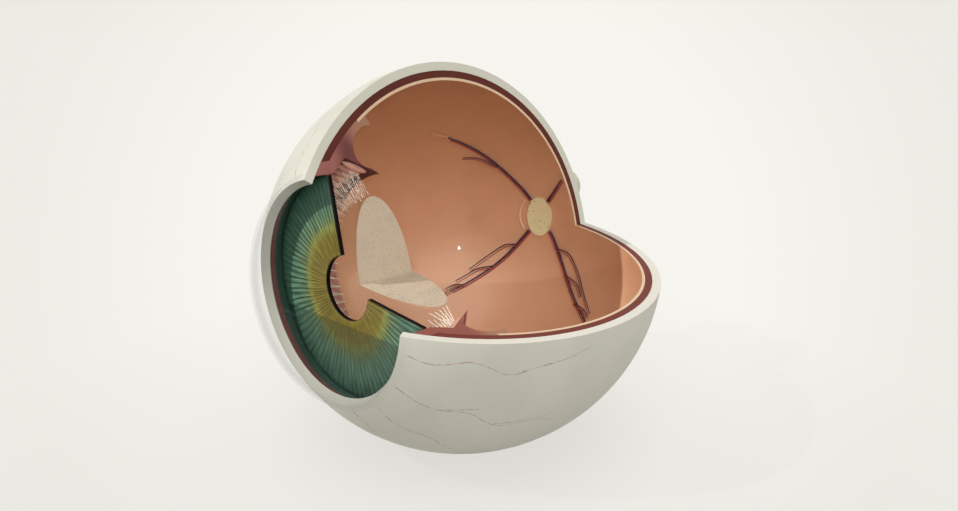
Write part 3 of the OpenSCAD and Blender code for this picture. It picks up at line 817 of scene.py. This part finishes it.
wear_on("optic_disc", disc_paint())
wear_on("disc_margin", plastic("margin_paint", (0.95, 0.74, 0.53), roughness=0.5, wear=0.0)[0])
wear_on("optic_nerve", plastic("nerve_plastic", (0.74, 0.64, 0.38), roughness=0.5, patch=90, wear=0.3)[0])
wear_on("nerve_sheath", plastic("sheath_plastic", (0.80, 0.76, 0.60), roughness=0.5, patch=60, wear=0.3)[0])

# %% Veins and arteries
DISC_PLACE = (65.5 * MM, 17.8 * MM, AXIS_HEIGHT + 1.6 * MM)


def vessel_paint(name, colour_here):
    """Painted cord whose colour breaks up into the retina's towards its far end."""
    material, tree, shader, colour, bump = plastic(name, colour_here, roughness=0.35, drift=0.15, patch=200,
                                                   wear=0.0)
    place = solid_place(tree)
    away = vector_maths(tree, "LENGTH", vector_maths(tree, "SUBTRACT", place, DISC_PLACE))
    breaks = cloudy(tree, place, 700.0, 1.0)
    bare = maths(tree, "ADD", breaks, spread(tree, away, 46 * MM, 58 * MM, -0.5, 0.3))
    tree.links.new(blend_colour(tree, soft_step(tree, bare, 0.48, 0.58), colour, (0.84, 0.46, 0.27)),
                   shader.inputs["Base Color"])
    return material


vein_paint = vessel_paint("vein_paint", (0.085, 0.036, 0.070))
artery_paint = vessel_paint("artery_paint", (0.44, 0.085, 0.080))
for place in ("superior_nasal", "superior_temporal", "inferior_nasal", "inferior_temporal"):
    wear_on(place + "_vein", vein_paint)
    wear_on(place + "_artery", artery_paint)
print("materials:", len(bpy.data.materials))

# %% [markdown]
# ## Table, light and camera
#
# The model stands on a pale sweep in an even white surround. One small lamp behind the cornea's side gives
# the firm shadows inside the bowl, a large soft one on the open side fills them, and a weak one beside the
# camera makes the glint on the retina. The sweep shows its own near-white colour to the camera, with only a
# share of real light and shadow on it, so that the shadow under the eyeball stays as faint as on a white
# studio table; a soft painted shadow darkens the sweep about the eyeball's foot.

# %% How bright the surround looks: full about the middle of the picture, a little less towards its corners
VIEW_PLACE = (-2.888 * EYE_RADIUS, -2.877 * EYE_RADIUS, AXIS_HEIGHT + 1.148 * EYE_RADIUS)
VIEW_AXIS = (0.69414, 0.66696, -0.27079)


def make_pool_of_light():
    tree, given, out = new_group("pool_of_light", {"Cosine": 1.0}, ["Color"])
    turned = maths(tree, "MULTIPLY", maths(tree, "ARCCOSINE", given["Cosine"]), 180 / math.pi / 60)
    tree.links.new(ramp(tree, turned, [(0.3, (0.92, 0.91, 0.855)), (0.4, (0.88, 0.87, 0.815)),
                                       (0.5, (0.84, 0.83, 0.775)), (1.0, (0.80, 0.79, 0.74))]), out["Color"])
    return tree


pool_of_light = make_pool_of_light()

# %% The pale floor
FLOOR_SIZE = 60.0
FLOOR_LIGHT = 0.06      # how much of the floor's shown colour is real light


def make_floor():
    material = bpy.data.materials.new("pale_floor")
    material.use_nodes = True
    tree = material.node_tree
    tree.nodes.clear()
    out = tree.nodes.new("ShaderNodeOutputMaterial")
    place = solid_place(tree)
    sight = vector_maths(tree, "NORMALIZE", vector_maths(tree, "SUBTRACT", place, VIEW_PLACE))
    tone = use_group(tree, pool_of_light, Cosine=vector_maths(tree, "DOT_PRODUCT", sight, VIEW_AXIS))["Color"]
    # painted shadow: the sweep darkens towards the eyeball's foot
    away = maths(tree, "DIVIDE", vector_maths(tree, "LENGTH", place), 0.2, clamp=True)
    painted_shade = ramp(tree, away, [(0.0, 0.78), (0.2, 0.81), (0.4, 0.92), (0.6, 0.965), (1.0, 1.0)])
    tone = vector_maths(tree, "MULTIPLY", tone, painted_shade)
    grain = cloudy(tree, place, 40.0, 4.0)
    lit = put(tree, "BsdfDiffuse", blend_colour(tree, grain, (0.42, 0.415, 0.395), (0.46, 0.455, 0.435))).outputs[0]
    glow = put(tree, "Emission", blend_colour(tree, FLOOR_LIGHT, tone, (0.0, 0.0, 0.0)), 1.0).outputs[0]
    real = put(tree, "BsdfDiffuse", (FLOOR_LIGHT, FLOOR_LIGHT, FLOOR_LIGHT, 1)).outputs[0]
    seen = put(tree, "AddShader", real, glow).outputs[0]
    path = put(tree, "LightPath").outputs
    direct = maths(tree, "MAXIMUM", path["Is Camera Ray"],
                   maths(tree, "MAXIMUM", path["Is Glossy Ray"], path["Is Transmission Ray"]))
    tree.links.new(put(tree, "MixShader", direct, lit, seen).outputs[0], out.inputs[0])
    corners = [(-FLOOR_SIZE, -FLOOR_SIZE, 0), (FLOOR_SIZE, -FLOOR_SIZE, 0), (FLOOR_SIZE, FLOOR_SIZE, 0),
               (-FLOOR_SIZE, FLOOR_SIZE, 0)]
    new_piece("pale_floor", corners, [(0, 1, 2, 3)], [material], smooth=False)


make_floor()

# %% Surround and lamps
SURROUND = 0.38
KEY_FROM = Vector((-0.67, 0.371, 0.643))
FILL_FROM = Vector((-0.30, -0.68, 0.67))
FRONT_FROM = Vector((-0.583, -0.79, 0.189))     # beside the camera; it makes the glint on the retina


def make_surround():
    world = bpy.data.worlds.new("surround")
    bpy.context.scene.world = world
    world.use_nodes = True
    tree = world.node_tree
    tree.nodes.clear()
    out = tree.nodes.new("ShaderNodeOutputWorld")
    fill = put(tree, "Background", (1.0, 1.0, 1.0, 1), SURROUND).outputs[0]
    sight = put(tree, "TexCoord").outputs["Generated"]
    tone = use_group(tree, pool_of_light, Cosine=vector_maths(tree, "DOT_PRODUCT", sight, VIEW_AXIS))["Color"]
    shown = put(tree, "Background", tone, 1.0).outputs[0]
    path = put(tree, "LightPath").outputs
    direct = maths(tree, "MAXIMUM", path["Is Camera Ray"],
                   maths(tree, "MAXIMUM", path["Is Glossy Ray"], path["Is Transmission Ray"]))
    tree.links.new(put(tree, "MixShader", direct, fill, shown).outputs[0], out.inputs[0])


def make_lamp(name, source, strength, softness):
    data = bpy.data.lights.new(name, "SUN")
    data.energy = strength
    data.angle = math.radians(softness)
    lamp = bpy.data.objects.new(name, data)
    lamp.rotation_euler = source.to_track_quat("Z", "Y").to_euler()
    bpy.context.scene.collection.objects.link(lamp)


make_surround()
make_lamp("key", KEY_FROM, 1.55, 1.0)
make_lamp("fill", FILL_FROM, 0.94, 60.0)
make_lamp("front", FRONT_FROM, 0.26, 0.6)
print("surround", SURROUND, "and three lamps")

# %% The camera
AZIMUTH = math.radians(-46.144)
ELEVATION = math.radians(15.711)
backwards = Vector((math.sin(AZIMUTH) * math.cos(ELEVATION), -math.cos(AZIMUTH) * math.cos(ELEVATION),
                    math.sin(ELEVATION)))
camera_data = bpy.data.cameras.new("camera")
camera_data.sensor_width = 36
camera_data.lens = 30.49
camera_data.clip_start = 0.01
camera_data.clip_end = 200
camera = bpy.data.objects.new("camera", camera_data)
camera.location = VIEW_PLACE
camera.rotation_euler = backwards.to_track_quat("Z", "Y").to_euler()
bpy.context.scene.collection.objects.link(camera)
bpy.context.scene.camera = camera
bpy.context.scene.view_settings.view_transform = "Standard"
print("camera at", [round(v, 4) for v in camera.location])
